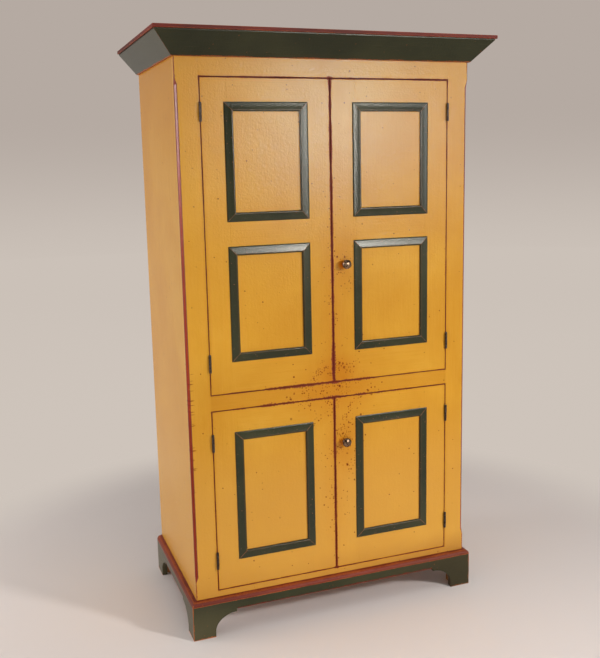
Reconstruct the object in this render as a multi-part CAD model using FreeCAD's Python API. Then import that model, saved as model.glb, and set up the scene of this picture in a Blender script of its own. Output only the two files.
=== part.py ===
import FreeCAD, Part
import math
import os

V = FreeCAD.Vector

# Jelly cupboard, millimetres. +Z is up, the doors face -Y, +X is the right-hand side seen from the
# front. The origin is the centre of the footprint on the floor.

# ---- Case -------------------------------------------------------------------------------------
case_width = 1072.0          # across the two sides
case_depth = 603.0           # face of the front frame to the back
side_board = 19.0            # thickness of the case sides
shelf_board = 19.0           # thickness of bottom, top, middle board and shelves
housing_depth = 6.0          # how far those boards stand in the sides
back_board = 12.0            # thickness of the back boards
back_rabbet = 10.0           # width of the rabbet in the sides that takes the back boards
back_board_count = 6
ship_lap = 8.0               # overlap of neighbouring back boards
shelf_setback = 42.0         # front edge of the loose-looking shelves behind the frame face

# ---- Levels, from the floor up -----------------------------------------------------------------
underside = 100.0            # lower edge of sides, frame and back boards above the floor
bottom_rail = 64.0
lower_opening = 656.0
middle_rail = 55.5
upper_opening = 1060.5
top_rail = 135.6
cap_board = 11.4

lower_shelf_height = 307.0   # clear height below the lower shelf
upper_shelf_pitch = 260.0    # from one upper shelf to the next

# ---- Face frame --------------------------------------------------------------------------------
frame_thick = 22.0
frame_stile = 80.5
frame_tenon_long = 30.0
frame_tenon_thick = 8.0
frame_tenon_shoulder = 10.0
mortise_spare = 1.0          # a mortise is this much deeper than its tenon is long
corner_chamfer = 9.0         # leg of the chamfer on the outer corners of the frame
chamfer_start = 127.0        # above the underside of the case
chamfer_end = 161.6          # below the underside of the cap
chamfer_stop = 25.0          # length of each pointed stop

# ---- Crown -------------------------------------------------------------------------------------
crown_rise = 74.6
crown_toe = 7.4              # flat underside of the crown
crown_out = 70.2             # how far the crown stands out of the case
crown_lip = 4.2              # upright lip under the cap
crown_back = 18.7            # height of the crown's glued face
crown_top_land = 20.4        # width of the crown's upper face
cap_overhang = 6.0
crown_block = 60.0
crown_block_pitch = 250.0

# ---- Base --------------------------------------------------------------------------------------
base_board = 20.0
base_height = 141.0
base_edge = 17.0             # height of the moulded top edge
base_bevel_out = 8.0
base_bevel_drop = 2.0
foot_width = 81.0
foot_straight = 20.0         # upright part of the foot's inner edge
foot_round_along = 79.0
foot_round_up = 62.0
foot_step = 10.0             # small step from the foot's curve up to the apron
foot_block = 45.0
rear_bracket = 19.0
rear_bracket_reach = 175.0

# ---- Doors -------------------------------------------------------------------------------------
door_thick = 22.0
hinge_gap = 1.5
meeting_gap = 2.5
end_gap = 1.75               # above and below a door
door_hinge_stile = 88.5
door_meeting_stile = 91.5
upper_top_rail = 88.5
upper_lock_rail = 103.0
upper_lock_level = 546.0     # middle of the lock rail above the door's lower edge
upper_bottom_rail = 120.0
lower_top_rail = 91.0
lower_bottom_rail = 113.0
door_tenon_long = 30.0
door_tenon_shoulder = 10.0
groove_front = 5.0           # from the door's face to its groove
groove_wide = 8.0            # also the thickness of panels and tenons
groove_deep = 8.0
panel_play = 0.8             # how far a panel stays short of the bottom of its groove
panel_field_back = 1.0       # the panel's field behind the face of the door
panel_field_play = 1.0       # between the field and the door's frame, under the moulding

# ---- Panel moulding ----------------------------------------------------------------------------
mould_wide = 31.0
mould_lap = 10.5             # how far the moulding laps over the door's frame
mould_edge = 1.6             # upright outer edge
mould_bevel = 3.5
mould_bevel_rise = 3.2
mould_cove_end = 25.5
mould_cove_mid_rise = 4.2
mould_crest = 6.1
mould_inner_rise = 2.0
mould_nose_out = 29.5
mould_nose_rise = 4.8

# ---- Hinges ------------------------------------------------------------------------------------
hinge_length = 60.0
hinge_inset = 111.0          # middle of a hinge from the end of its door
hinge_leaf_wide = 18.0
hinge_leaf_thick = 2.0
hinge_leaf_gap = 0.8         # between the two leaves of a closed hinge
knuckle_radius = 4.5
knuckle_count = 5
knuckle_end_gap = 0.2
knuckle_clear = 0.3          # between a knuckle and the face of the frame
hinge_pin_radius = 2.0
running_clear = 0.05         # between a shaft and the hole it turns or slides in
pin_head = 1.2
pin_head_radius = 4.0
screw_radius = 1.8
screw_length = 14.0
screw_head_radius = 3.3
screw_head = 1.5
screw_end_margin = 11.0      # from a leaf's end to its first screw
screw_line = 10.0            # screws behind the face of the frame

# ---- Knobs and turning latches -----------------------------------------------------------------
knob_radius = 16.5
knob_standing = 30.0
knob_rose_radius = 9.0
knob_rose = 2.5
knob_rose_taper = 1.0
knob_face_depth = 9.0        # from the knob's widest part to its face
knob_back_depth = 5.0        # from the knob's widest part to its stem
knob_stem_radius = 5.0
knob_seat_gap = 0.2
spindle_radius = 4.0
upper_knob_level = 423.0     # above the lower edge of its door
upper_knob_from_edge = 46.0
lower_knob_level = 484.5
lower_knob_from_edge = 38.0
tongue_gap = 0.5
tongue_thick = 3.0
tongue_wide = 18.0
tongue_reach = 58.0
nut_flats = 14.0
nut_thick = 5.0

# ---- Sliding bolts -----------------------------------------------------------------------------
bolt_rod_radius = 3.5
bolt_rod_length = 92.0
bolt_plate_wide = 22.0
bolt_plate_thick = 2.0
bolt_plate_length = 84.0
bolt_below_edge = 4.0        # top of the drawn rod and of its plate below the door's upper edge
bolt_guide_high = 10.0
bolt_guide_wide = 13.0
bolt_guide_wall = 2.5        # metal over the rod
bolt_plate_gap = 0.5         # between rod and plate
bolt_handle_radius = 3.0
bolt_handle_long = 9.0
bolt_handle_gap = 0.3        # between the handle and the guide it rests above
bolt_screw_inset = 7.0
bolt_screw_spread = 7.0      # screws beside the middle of the plate

# ---- Door stops --------------------------------------------------------------------------------
stop_wide = 60.0
stop_thick = 12.0
stop_high = 40.0
stop_overlap = 12.0          # how far a stop reaches behind its door
stop_offset = 200.0

past = 1.0                   # how far a cutting tool runs past what it cuts

# ---- Places that follow from the sizes ---------------------------------------------------------
half_width = case_width / 2
cap_out = crown_out + cap_overhang
front = -(case_depth + cap_out) / 2 + cap_out
back = front + case_depth
frame_back = front + frame_thick
back_face = back - back_board

lower_sill = underside + bottom_rail
lower_head = lower_sill + lower_opening
upper_sill = lower_head + middle_rail
upper_head = upper_sill + upper_opening
cap_under = upper_head + top_rail
cap_top = cap_under + cap_board

opening_half = half_width - frame_stile
door_hinge_edge = opening_half - hinge_gap
door_meeting_edge = meeting_gap / 2
door_back = front + door_thick
pin_x = opening_half - hinge_gap / 2
pin_y = front - knuckle_radius - knuckle_clear
inner_half = half_width - side_board

pieces = {}


# ---- Small helpers -----------------------------------------------------------------------------
def add(name, *solids):
    """Put solids into the node called name."""
    for solid in solids:
        pieces.setdefault(name, []).extend(solid.Solids)


def box(x0, x1, y0, y1, z0, z1):
    return Part.makeBox(x1 - x0, y1 - y0, z1 - z0, V(x0, y0, z0))


def rod(radius, start, end):
    run = end - start
    return Part.makeCylinder(radius, run.Length, start, run)


def polygon(points):
    return Part.Face(Part.makePolygon(points + [points[0]]))


def line(a, b):
    return Part.LineSegment(a, b).toShape()


def arc(a, middle, b):
    return Part.Arc(a, middle, b).toShape()


def quarter(start, corner, end):
    """Quarter of an ellipse from start to end, with its tangents meeting at corner."""
    pull = 0.5523
    curve = Part.BezierCurve()
    curve.setPoles([start, start + (corner - start) * pull, end + (corner - end) * pull, end])
    return curve.toShape()


def face(edges):
    return Part.Face(Part.Wire(edges))


def mirror_x(shape):
    return shape.mirror(V(0, 0, 0), V(1, 0, 0))


# ---- Case boards -------------------------------------------------------------------------------
def housed_board(z_top, y0, y1):
    """A level board that stands in the housings of both sides."""
    reach = inner_half + housing_depth
    return box(-reach, reach, y0, y1, z_top - shelf_board, z_top)


def build_case():
    shelf_front = front + shelf_setback
    case_bottom = housed_board(lower_sill, frame_back, back_face)
    case_middle = housed_board(upper_sill, frame_back, back_face)
    case_top = housed_board(cap_under, frame_back, back_face)
    lower_shelf = housed_board(lower_sill + lower_shelf_height + shelf_board, shelf_front, back_face)
    upper_shelves = []
    for row in (1, 2, 3):
        upper_shelves.append(housed_board(upper_sill + row * upper_shelf_pitch, shelf_front, back_face))

    side = box(inner_half, half_width, frame_back, back, underside, cap_under)
    rabbet = box(inner_half - past, inner_half + back_rabbet, back_face, back + past,
                 underside - past, cap_under + past)
    boards = [case_bottom, case_middle, case_top, lower_shelf] + upper_shelves
    side = side.cut([rabbet] + boards)
    add("side_right", side)
    add("side_left", mirror_x(side))
    add("case_bottom", case_bottom)
    add("case_middle", case_middle)
    add("case_top", case_top)
    add("lower_shelf", lower_shelf)
    add("upper_shelves", *upper_shelves)


def build_back():
    """Upright boards, each lapped behind the next one."""
    half = inner_half + back_rabbet
    board = 2 * half / back_board_count
    lap_y = back - back_board / 2
    for index in range(back_board_count):
        x0 = -half + index * board
        x1 = x0 + board
        solid = box(x0, x1, back_face, back, underside, cap_under)
        if index < back_board_count - 1:
            solid = solid.fuse(box(x1, x1 + ship_lap, back_face, lap_y, underside, cap_under))
        if index > 0:
            lap = box(x0 - past, x0 + ship_lap, back_face - past, lap_y,
                      underside - past, cap_under + past)
            solid = solid.cut(lap)
        add("back_boards", solid.removeSplitter())


# ---- Face frame --------------------------------------------------------------------------------
def corner_cut(z0, z1):
    """Chamfer of the frame's outer corner: a three-sided prism with a point at each end."""
    reach = corner_chamfer + past

    def section(z):
        return [V(half_width + past, front - past, z), V(half_width - reach, front - past, z),
                V(half_width + past, front + reach, z)]

    prism = polygon(section(z0)).extrude(V(0, 0, z1 - z0))
    tools = [prism]
    for z, tip in ((z0, z0 - chamfer_stop), (z1, z1 + chamfer_stop)):
        lean = (corner_chamfer + 2 * past) / corner_chamfer
        point = V(half_width + past, front - past, z + (tip - z) * lean)
        a, b, c = section(z)
        shell = Part.Shell([polygon([a, b, c]), polygon([a, b, point]), polygon([b, c, point]),
                            polygon([c, a, point])])
        end = Part.Solid(shell)
        end.fix(1e-6, 1e-6, 1e-6)
        tools.append(end)
    return tools


def build_frame():
    tenon_y0 = front + (frame_thick - frame_tenon_thick) / 2
    tenon_y1 = tenon_y0 + frame_tenon_thick
    stile = box(opening_half, half_width, front, frame_back, underside, cap_under)
    rails = (("frame_rail_bottom", underside, lower_sill), ("frame_rail_middle", lower_head, upper_sill),
             ("frame_rail_top", upper_head, cap_under))
    tools = corner_cut(underside + chamfer_start, cap_under - chamfer_end)
    for name, z0, z1 in rails:
        rail = box(-opening_half, opening_half, front, frame_back, z0, z1)
        reach = opening_half + frame_tenon_long
        low = z0 + frame_tenon_shoulder
        high = z1 - frame_tenon_shoulder
        add(name, rail.fuse(box(-reach, reach, tenon_y0, tenon_y1, low, high)).removeSplitter())
        tools.append(box(opening_half - past, reach + mortise_spare, tenon_y0, tenon_y1, low, high))
    for door in doors:
        tools += [leaf_pocket(z, 1) for z in door["hinges"]]
        tools += [screw for z in door["hinges"] for screw in leaf_screws(z, 1)]
    stile = stile.cut(tools)
    add("frame_stile_right", stile)
    add("frame_stile_left", mirror_x(stile))


# ---- Crown and cap -----------------------------------------------------------------------------
def ring_part(outward, side):
    """Plan area of one side of a mitred ring that stands outward from the case.

    side is front or right. Boards of the crown and of the base are cut to it."""
    x_in = half_width
    x_out = half_width + outward
    y_out = front - outward
    if side == "front":
        plan = [V(-x_out, y_out, 0), V(x_out, y_out, 0), V(x_in, front, 0), V(-x_in, front, 0)]
    else:
        plan = [V(x_out, y_out, 0), V(x_out, back, 0), V(x_in, back, 0), V(x_in, front, 0)]
    return polygon(plan).extrude(V(0, 0, cap_top))


def run_front(points, make_face):
    """Extrude a section given as (out, up) along the front of the case."""
    reach = half_width + case_depth
    section = make_face([V(-reach, front - out, up) for out, up in points])
    return section.extrude(V(2 * reach, 0, 0))


def run_right(points, make_face):
    section = make_face([V(half_width + out, front - case_depth, up) for out, up in points])
    return section.extrude(V(0, 2 * case_depth, 0))


def build_crown():
    foot = cap_under - crown_rise
    slope_top = cap_under - crown_lip
    land = crown_out - crown_top_land
    section = [(0, foot), (crown_toe, foot), (crown_out, slope_top), (crown_out, cap_under),
               (land, cap_under), (0, foot + crown_back)]
    add("crown_front", run_front(section, polygon).common(ring_part(crown_out, "front")))
    right = run_right(section, polygon).common(ring_part(crown_out, "right"))
    add("crown_right", right)
    add("crown_left", mirror_x(right))
    side = half_width + cap_out
    add("cap_board", box(-side, side, front - cap_out, back, cap_under, cap_top))

    behind = [(0, foot + crown_back), (land, cap_under), (0, cap_under)]
    spread = math.floor((half_width - crown_block) / crown_block_pitch)
    for step in range(-spread, spread + 1):
        middle = step * crown_block_pitch
        slab = box(middle - crown_block / 2, middle + crown_block / 2,
                   front - crown_out, front, foot, cap_under)
        add("crown_blocks", run_front(behind, polygon).common(slab))
    start = front + crown_block
    spread = math.floor((case_depth - 2 * crown_block) / crown_block_pitch)
    for step in range(spread + 1):
        low = start + step * crown_block_pitch
        slab = box(half_width, half_width + crown_out, low, low + crown_block, foot, cap_under)
        block = run_right(behind, polygon).common(slab)
        add("crown_blocks", block, mirror_x(block))


# ---- Base --------------------------------------------------------------------------------------
def base_section(points):
    """Section of a base board with its thumb moulding on top."""
    low_in, low_out, edge, crest, top_in = points
    corner = V(edge.x, edge.y, crest.z)
    return face([line(low_in, low_out), line(low_out, edge), quarter(edge, corner, crest),
                 line(crest, top_in), line(top_in, low_in)])


def arch(start, end, place):
    """Opening under an apron between two bracket feet; place turns (along, up) into a point."""
    floor = -past
    apron = foot_straight + foot_round_up + foot_step
    shoulder = foot_straight + foot_round_up
    a = start + foot_round_along
    b = end - foot_round_along
    return face([
        line(place(start, floor), place(start, foot_straight)),
        quarter(place(start, foot_straight), place(start, shoulder), place(a, shoulder)),
        line(place(a, shoulder), place(a, apron)),
        line(place(a, apron), place(b, apron)),
        line(place(b, apron), place(b, shoulder)),
        quarter(place(b, shoulder), place(end, shoulder), place(end, foot_straight)),
        line(place(end, foot_straight), place(end, floor)),
        line(place(end, floor), place(start, floor))])


def build_base():
    section = [(0, 0), (base_board, 0), (base_board, base_height - base_edge),
               (base_bevel_out, base_height - base_bevel_drop), (0, base_height)]
    outer = half_width + base_board
    front_board = run_front(section, base_section).common(ring_part(base_board, "front"))
    front_arch = arch(-outer + foot_width, outer - foot_width,
                      lambda along, up: V(along, front - base_board - past, up))
    add("base_front", front_board.cut(front_arch.extrude(V(0, base_board + 2 * past, 0))))

    side_board = run_right(section, base_section).common(ring_part(base_board, "right"))
    side_arch = arch(front - base_board + foot_width, back - foot_width,
                     lambda along, up: V(half_width - past, along, up))
    right = side_board.cut(side_arch.extrude(V(base_board + 2 * past, 0, 0)))
    add("base_right", right)
    add("base_left", mirror_x(right))

    bracket_arch = arch(-outer + foot_width, outer - foot_width,
                        lambda along, up: V(along, back - rear_bracket - past, up))
    bracket = box(half_width - rear_bracket_reach, half_width, back - rear_bracket, back, 0, underside)
    bracket = bracket.cut(bracket_arch.extrude(V(0, rear_bracket + 2 * past, 0)))
    add("rear_brackets", bracket, mirror_x(bracket))
    for y0 in (front, back - rear_bracket - foot_block):
        block = box(half_width - foot_block, half_width, y0, y0 + foot_block, 0, underside)
        add("foot_blocks", block, mirror_x(block))


# ---- Doors -------------------------------------------------------------------------------------
def door_plan(name, sill, head, rails, knob_level, knob_from_edge):
    """Heights of one pair of doors. rails are (low, high) above the door's lower edge."""
    low = sill + end_gap
    high = head - end_gap
    levels = [(low + a, low + b) for a, b in rails]
    gaps = [(levels[i][1], levels[i + 1][0]) for i in range(len(levels) - 1)]
    return {"name": name, "low": low, "high": high, "rails": levels, "panels": gaps,
            "hinges": (low + hinge_inset, high - hinge_inset),
            "knob": V(door_meeting_edge + knob_from_edge, front, low + knob_level)}


upper_high = upper_opening - 2 * end_gap
lower_high = lower_opening - 2 * end_gap
doors = [
    door_plan("upper", upper_sill, upper_head,
              [(0, upper_bottom_rail),
               (upper_lock_level - upper_lock_rail / 2, upper_lock_level + upper_lock_rail / 2),
               (upper_high - upper_top_rail, upper_high)],
              upper_knob_level, upper_knob_from_edge),
    door_plan("lower", lower_sill, lower_head,
              [(0, lower_bottom_rail), (lower_high - lower_top_rail, lower_high)],
              lower_knob_level, lower_knob_from_edge)]

groove_y0 = front + groove_front
groove_y1 = groove_y0 + groove_wide
panel_x0 = door_meeting_edge + door_meeting_stile
panel_x1 = door_hinge_edge - door_hinge_stile


def moulding(x0, x1, z0, z1):
    """Four mitred lengths of raised moulding whose outer edge is the rectangle given."""
    top = front - mould_crest - past
    low = front + panel_field_back
    cove_mid = (mould_bevel + mould_cove_end) / 2

    def section(place):
        outer = place(0, 0)
        edge = place(0, mould_edge)
        bevel = place(mould_bevel, mould_bevel_rise)
        cove = place(cove_mid, mould_cove_mid_rise)
        crest = place(mould_cove_end, mould_crest)
        nose = place(mould_nose_out, mould_nose_rise)
        inner = place(mould_wide, mould_inner_rise)
        seat = place(mould_wide, -panel_field_back)
        step = place(mould_lap, -panel_field_back)
        lap = place(mould_lap, 0)
        return face([line(outer, edge), line(edge, bevel), arc(bevel, cove, crest), arc(crest, nose, inner),
                     line(inner, seat), line(seat, step), line(step, lap), line(lap, outer)])

    def mitre(corners):
        plan = polygon([V(x, top, z) for x, z in corners])
        return plan.extrude(V(0, low - top, 0))

    a, b = x0 + mould_wide, x1 - mould_wide
    c, d = z0 + mould_wide, z1 - mould_wide
    across = V(x1 - x0, 0, 0)
    up = V(0, 0, z1 - z0)
    bottom = section(lambda s, h: V(x0, front - h, z0 + s)).extrude(across)
    top_run = section(lambda s, h: V(x0, front - h, z1 - s)).extrude(across)
    left = section(lambda s, h: V(x0 + s, front - h, z0)).extrude(up)
    right = section(lambda s, h: V(x1 - s, front - h, z0)).extrude(up)
    return [bottom.common(mitre([(x0, z0), (x1, z0), (b, c), (a, c)])),
            top_run.common(mitre([(x0, z1), (x1, z1), (b, d), (a, d)])),
            left.common(mitre([(x0, z0), (x0, z1), (a, d), (a, c)])),
            right.common(mitre([(x1, z0), (x1, z1), (b, d), (b, c)]))]


def door_pieces(door):
    """Pieces of the right-hand door of a pair, before holes for its fittings."""
    low, high = door["low"], door["high"]
    hinge_stile = box(panel_x1, door_hinge_edge, front, door_back, low, high)
    meeting_stile = box(door_meeting_edge, panel_x0, front, door_back, low, high)
    tools = []
    rails = []
    for z0, z1 in door["rails"]:
        rail = box(panel_x0, panel_x1, front, door_back, z0, z1)
        zt0, zt1 = z0 + door_tenon_shoulder, z1 - door_tenon_shoulder
        tenon = box(panel_x0 - door_tenon_long, panel_x1 + door_tenon_long, groove_y0, groove_y1, zt0, zt1)
        rails.append(rail.fuse(tenon))
        long = door_tenon_long + mortise_spare
        tools.append(box(panel_x0 - long, panel_x1 + long, groove_y0, groove_y1, zt0, zt1))
    panels = []
    mouldings = []
    for z0, z1 in door["panels"]:
        x0, x1 = panel_x0 - groove_deep, panel_x1 + groove_deep
        between = box(panel_x0, panel_x1, groove_y0, groove_y1, z0 - groove_deep, z1 + groove_deep)
        tools.append(box(x0, x1, groove_y0, groove_y1, z0, z1))
        rails = [rail.cut(between) for rail in rails]
        tongue = box(x0 + panel_play, x1 - panel_play, groove_y0, groove_y1,
                     z0 - groove_deep + panel_play, z1 + groove_deep - panel_play)
        field = box(panel_x0 + panel_field_play, panel_x1 - panel_field_play, front + panel_field_back,
                    groove_y0 + past, z0 + panel_field_play, z1 - panel_field_play)
        panels.append(tongue.fuse(field))
        mouldings += moulding(panel_x0 - mould_lap, panel_x1 + mould_lap, z0 - mould_lap, z1 + mould_lap)
    rails = [rail.removeSplitter() for rail in rails]
    panels = [panel_in_cross(panel, door).removeSplitter() for panel in panels]
    leaves = [leaf_pocket(z, -1) for z in door["hinges"]]
    screws = [screw for z in door["hinges"] for screw in leaf_screws(z, -1)]
    return {"hinge_stile": hinge_stile.cut(tools + leaves + screws),
            "meeting_stile": meeting_stile.cut(tools),
            "rails": rails, "panels": panels, "mouldings": mouldings}


def panel_in_cross(panel, door):
    """Take the corners off a panel where its grooves don't meet."""
    box_of = panel.BoundBox
    y0, y1 = groove_y0 - past, groove_y1 + past
    corners = []
    for z0, z1 in door["panels"]:
        if z0 < box_of.Center.z < z1:
            for xa, xb in ((box_of.XMin - past, panel_x0), (panel_x1, box_of.XMax + past)):
                corners.append(box(xa, xb, y0, y1, box_of.ZMin - past, z0))
                corners.append(box(xa, xb, y0, y1, z1, box_of.ZMax + past))
    return panel.cut(corners)


def build_doors():
    for door in doors:
        right = door_pieces(door)
        left = {key: mirror_all(value) for key, value in right.items()}
        right["meeting_stile"] = right["meeting_stile"].cut(knob_bore(door))
        left["meeting_stile"] = left["meeting_stile"].cut(bolt_screws(door))
        for side, parts in (("right", right), ("left", left)):
            prefix = door["name"] + "_" + side + "_"
            add(prefix + "hinge_stile", parts["hinge_stile"])
            add(prefix + "meeting_stile", parts["meeting_stile"])
            add(prefix + "rails", *parts["rails"])
            add(prefix + "panels", *parts["panels"])
            add(prefix + "mouldings", *parts["mouldings"])


def mirror_all(value):
    if isinstance(value, list):
        return [mirror_x(shape) for shape in value]
    return mirror_x(value)


# ---- Hinges ------------------------------------------------------------------------------------
def leaf_x(toward):
    """Near and far face of a leaf. toward is 1 for the frame's leaf and -1 for the door's."""
    near = pin_x + toward * hinge_leaf_gap / 2
    return near, near + toward * hinge_leaf_thick


def leaf_pocket(middle, toward):
    near, far = leaf_x(toward)
    low, high = sorted((pin_x, far))
    half = hinge_length / 2
    return box(low, high, front - past, front + hinge_leaf_wide, middle - half, middle + half)


def leaf_screws(middle, toward):
    """Countersunk screws of one leaf."""
    near, far = leaf_x(toward)
    along = V(toward, 0, 0)
    reach = hinge_length / 2 - screw_end_margin
    screws = []
    for offset in (-reach, 0, reach):
        start = V(near, front + screw_line, middle + offset)
        head = Part.makeCone(screw_head_radius, screw_radius, screw_head, start, along)
        screws.append(head.fuse(rod(screw_radius, start, start + along * screw_length)))
    return screws


def hinge_leaf(middle, toward):
    """One leaf with its own knuckles; the frame's leaf has the outer ones."""
    near, far = leaf_x(toward)
    low, high = sorted((near, far))
    z0 = middle - hinge_length / 2
    leaf = box(low, high, front, front + hinge_leaf_wide, z0, z0 + hinge_length)
    pitch = hinge_length / knuckle_count
    first = 0 if toward > 0 else 1
    solids = []
    for index in range(first, knuckle_count, 2):
        bottom = z0 + index * pitch + (knuckle_end_gap / 2 if index > 0 else 0)
        top = z0 + (index + 1) * pitch - (knuckle_end_gap / 2 if index < knuckle_count - 1 else 0)
        solids.append(rod(knuckle_radius, V(pin_x, pin_y, bottom), V(pin_x, pin_y, top)))
        solids.append(box(low, high, pin_y, front, bottom, top))
    leaf = leaf.fuse(solids)
    radius = hinge_pin_radius if toward > 0 else hinge_pin_radius + running_clear
    bore = rod(radius, V(pin_x, pin_y, z0 - past), V(pin_x, pin_y, z0 + hinge_length + past))
    return leaf.cut([bore] + leaf_screws(middle, toward)).removeSplitter()


def build_hinges():
    for door in doors:
        for middle in door["hinges"]:
            frame_leaf = hinge_leaf(middle, 1)
            frame_screws = leaf_screws(middle, 1)
            add("hinge_frame_leaves", frame_leaf, mirror_x(frame_leaf))
            z0 = middle - hinge_length / 2
            z1 = middle + hinge_length / 2
            pin = rod(hinge_pin_radius, V(pin_x, pin_y, z0), V(pin_x, pin_y, z1))
            heads = [rod(pin_head_radius, V(pin_x, pin_y, z1), V(pin_x, pin_y, z1 + pin_head)),
                     rod(pin_head_radius, V(pin_x, pin_y, z0 - pin_head), V(pin_x, pin_y, z0))]
            pin = pin.fuse(heads)
            add("hinge_pins", pin, mirror_x(pin))
            for screw in frame_screws:
                add("hinge_frame_screws", screw, mirror_x(screw))
            door_leaf = hinge_leaf(middle, -1)
            for solid in [door_leaf] + leaf_screws(middle, -1):
                add(door["name"] + "_right_hinge_leaves", solid)
                add(door["name"] + "_left_hinge_leaves", mirror_x(solid))


# ---- Knobs and latches -------------------------------------------------------------------------
def knob_bore(door):
    at = door["knob"]
    radius = spindle_radius + running_clear
    return rod(radius, V(at.x, front - past, at.z), V(at.x, door_back + past, at.z))


def build_knob(door):
    at = door["knob"]
    seat = front - knob_seat_gap
    face_y = front - knob_standing
    ball_y = face_y + knob_face_depth
    flare_y = ball_y + knob_back_depth

    def place(radius, y):
        return V(at.x + radius, y, at.z)

    neck_y = seat - knob_rose
    rim_low = place(knob_radius, ball_y)
    profile = [
        line(place(0, seat), place(knob_rose_radius, seat)),
        line(place(knob_rose_radius, seat), place(knob_rose_radius - knob_rose_taper, neck_y)),
        line(place(knob_rose_radius - knob_rose_taper, neck_y), place(knob_stem_radius, neck_y)),
        line(place(knob_stem_radius, neck_y), place(knob_stem_radius, flare_y)),
        quarter(place(knob_stem_radius, flare_y), place(knob_radius, flare_y), rim_low),
        quarter(rim_low, place(knob_radius, face_y), place(0, face_y)),
        line(place(0, face_y), place(0, seat))]
    knob = face(profile).revolve(V(at.x, 0, at.z), V(0, 1, 0), 360)
    nut_back = door_back + tongue_gap + tongue_thick + nut_thick
    spindle = rod(spindle_radius, V(at.x, seat, at.z), V(at.x, nut_back, at.z))
    add(door["name"] + "_knob", knob.fuse(spindle).removeSplitter())

    y0 = door_back + tongue_gap
    y1 = y0 + tongue_thick
    half = tongue_wide / 2
    blade = box(at.x - half, at.x + half, y0, y1, at.z - tongue_reach, at.z)
    blade = blade.fuse(rod(half, V(at.x, y0, at.z), V(at.x, y1, at.z)))
    hole = rod(spindle_radius, V(at.x, y0 - past, at.z), V(at.x, nut_back + past, at.z))
    corner = nut_flats / math.sqrt(3)
    turns = [math.radians(60 * i) for i in range(6)]
    corners = [V(at.x + corner * math.cos(turn), y1, at.z + corner * math.sin(turn)) for turn in turns]
    nut = polygon(corners).extrude(V(0, nut_thick, 0))
    add(door["name"] + "_latch", blade.removeSplitter().cut(hole), nut.cut(hole))


# ---- Sliding bolts on the left-hand doors ------------------------------------------------------
bolt_x = -(door_meeting_edge + door_meeting_stile / 2)
bolt_plate_back = door_back + bolt_plate_thick
bolt_axis_y = bolt_plate_back + bolt_plate_gap + bolt_rod_radius


def bolt_screws(door):
    top = door["high"] - bolt_below_edge
    screws = []
    inset = bolt_guide_high + bolt_screw_inset
    for x in (bolt_x - bolt_screw_spread, bolt_x + bolt_screw_spread):
        for z in (top - inset, top - bolt_plate_length + inset):
            start = V(x, bolt_plate_back, z)
            along = V(0, -1, 0)
            head = Part.makeCone(screw_head_radius, screw_radius, screw_head, start, along)
            screws.append(head.fuse(rod(screw_radius, start, start + along * screw_length)))
    return screws


def build_bolt(door):
    top = door["high"] - bolt_below_edge
    foot = top - bolt_plate_length
    half = bolt_plate_wide / 2
    plate = box(bolt_x - half, bolt_x + half, door_back, bolt_plate_back, foot, top)
    guide_back = bolt_axis_y + bolt_rod_radius + bolt_guide_wall
    half = bolt_guide_wide / 2
    guides = [box(bolt_x - half, bolt_x + half, bolt_plate_back, guide_back, z, z + bolt_guide_high)
              for z in (foot, top - bolt_guide_high)]
    bore = rod(bolt_rod_radius + running_clear,
               V(bolt_x, bolt_axis_y, foot - past), V(bolt_x, bolt_axis_y, top + past))
    screws = bolt_screws(door)
    plate = plate.fuse(guides).removeSplitter().cut([bore] + screws)
    add(door["name"] + "_bolt_plate", plate, *screws)

    rod_low = top - bolt_rod_length
    rod_solid = rod(bolt_rod_radius, V(bolt_x, bolt_axis_y, rod_low), V(bolt_x, bolt_axis_y, top))
    handle_z = foot + bolt_guide_high + bolt_handle_gap + bolt_handle_radius
    handle_y = bolt_axis_y + bolt_rod_radius + bolt_handle_long
    handle = rod(bolt_handle_radius, V(bolt_x, bolt_axis_y, handle_z), V(bolt_x, handle_y, handle_z))
    add(door["name"] + "_bolt_rod", rod_solid.fuse(handle).removeSplitter())


def build_stops():
    for head in (lower_head, upper_head):
        for middle in (-stop_offset, stop_offset):
            low = head - stop_overlap
            add("door_stops", box(middle - stop_wide / 2, middle + stop_wide / 2, frame_back,
                                  frame_back + stop_thick, low, low + stop_high))


# ---- Make every node and write it --------------------------------------------------------------
build_case()
build_back()
build_frame()
build_crown()
build_base()
build_doors()
build_hinges()
for pair in doors:
    build_knob(pair)
    build_bolt(pair)
build_stops()

os.makedirs("parts", exist_ok=True)
for name, solids in pieces.items():
    shape = solids[0] if len(solids) == 1 else Part.makeCompound(solids)
    shape.exportStep("parts/" + name + ".step")
    state = "valid" if shape.isValid() else "NOT VALID"
    print(name, len(solids), "solids", state, round(shape.Volume / 1000, 1))
print(len(pieces), "nodes", "height", cap_top, "width", 2 * (half_width + cap_out),
      "depth", case_depth + cap_out)
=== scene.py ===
import math

import bpy
import numpy as np
from mathutils import Matrix, Vector


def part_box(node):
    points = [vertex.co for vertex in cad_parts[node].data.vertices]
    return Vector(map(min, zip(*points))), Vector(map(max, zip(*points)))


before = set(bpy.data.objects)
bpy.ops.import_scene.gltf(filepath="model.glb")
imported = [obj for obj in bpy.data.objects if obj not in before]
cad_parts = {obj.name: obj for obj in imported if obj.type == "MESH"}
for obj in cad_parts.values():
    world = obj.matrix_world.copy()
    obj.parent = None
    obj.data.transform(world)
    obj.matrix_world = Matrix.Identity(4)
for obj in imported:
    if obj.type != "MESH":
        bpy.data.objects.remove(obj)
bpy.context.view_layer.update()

# ---- Places, in metres; what model.glb can give is taken from it ---------------------------------
ROWS = ("upper", "lower")
FACE_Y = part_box("frame_stile_left")[0].y             # front of the face frame and of the doors
BACK_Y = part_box("back_boards")[1].y
CASE_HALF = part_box("side_right")[1].x
SIDE_THICK, LEAF_THICK = 0.019, 0.022                # the case sides; the doors and the face frame
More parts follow.
